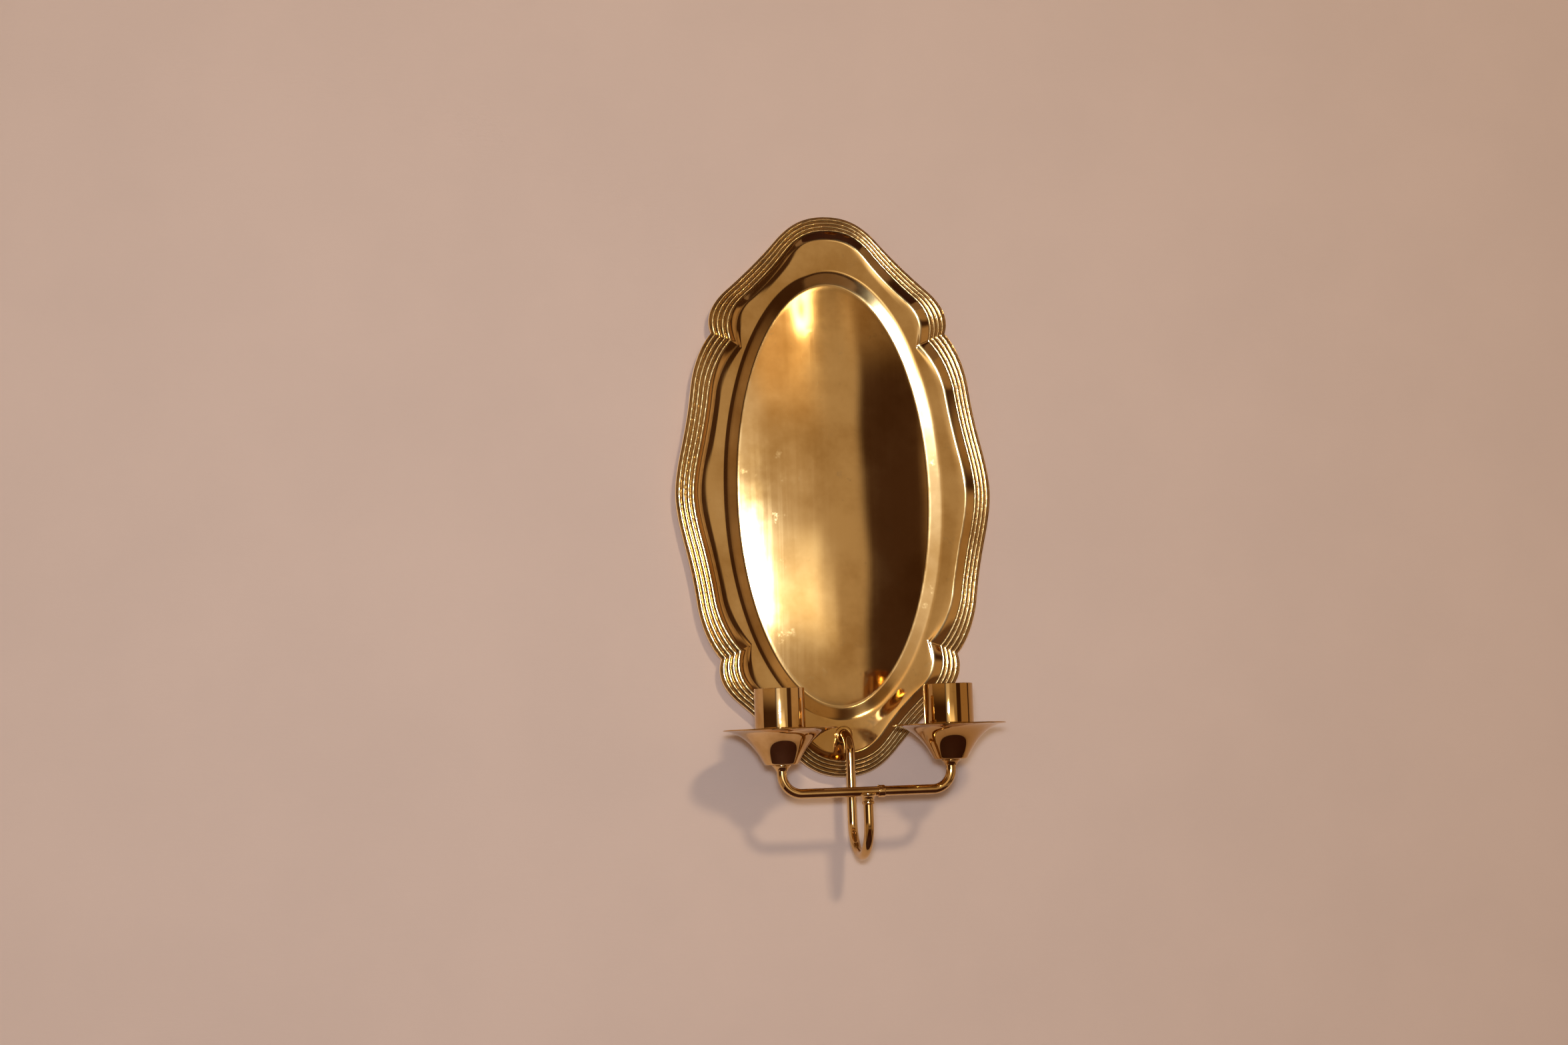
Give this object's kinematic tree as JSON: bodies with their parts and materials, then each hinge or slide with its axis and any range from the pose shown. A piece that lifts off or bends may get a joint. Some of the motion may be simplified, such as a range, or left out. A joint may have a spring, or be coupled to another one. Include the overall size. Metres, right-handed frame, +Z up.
{
  "type": "wall sconce candle holder",
  "caption": "Polished brass wall sconce: reeded shield-shaped back plate with a domed oval, U-shaped arm and crossbar with a candle cup and drip pan at each end.",
  "frame": {"origin": "centre of the hanging eye at the strap's back face, where it touches the wall", "axes": "+Z up, +Y into the wall along the eye's axis, +X to the viewer's right; the front faces -Y"},
  "size_m": [0.1712, 0.083, 0.3405],
  "materials": {
    "plate_brass": "polished, with fine upright brushing in the oval",
    "rod_brass": "polished",
    "holder_brass": "mirror polished",
    "plain_brass": "plain turned, slightly tarnished"
  },
  "bodies": {
    "plate_and_arm": {"back_plate": "plate_brass", "hanging_strap": "plain_brass", "arm_rod": "rod_brass", "arm_collar": "rod_brass", "root_washer": "plain_brass", "root_nut": "plain_brass", "lock_ring": "rod_brass"},
    "crossbar": {"saddle_boss": "rod_brass", "crossbar_rod": "rod_brass", "bar_sleeve": "rod_brass", "left_rod_collar": "rod_brass", "right_rod_collar": "rod_brass", "left_cup_screw": "plain_brass", "right_cup_screw": "plain_brass"},
    "left_holder": {"left_drip_pan": "holder_brass", "left_spacer": "plain_brass", "left_candle_cup": "holder_brass", "left_cup_washer": "plain_brass"},
    "right_holder": {"right_drip_pan": "holder_brass", "right_spacer": "plain_brass", "right_candle_cup": "holder_brass", "right_cup_washer": "plain_brass"}
  },
  "joints": [
    {"name": "crossbar_swivel", "type": "hinge", "parent": "plate_and_arm", "child": "crossbar", "pos_m": [0, -0.054, -0.2775], "axis": [0, 0, 1], "range_deg": [-15, 15]},
    {"name": "left_holder_turn", "type": "hinge", "parent": "crossbar", "child": "left_holder", "pos_m": [-0.0442, -0.054, -0.2626], "axis": [0, 0, 1], "continuous": true},
    {"name": "right_holder_turn", "type": "hinge", "parent": "crossbar", "child": "right_holder", "pos_m": [0.0442, -0.054, -0.2626], "axis": [0, 0, 1], "continuous": true}
  ]
}
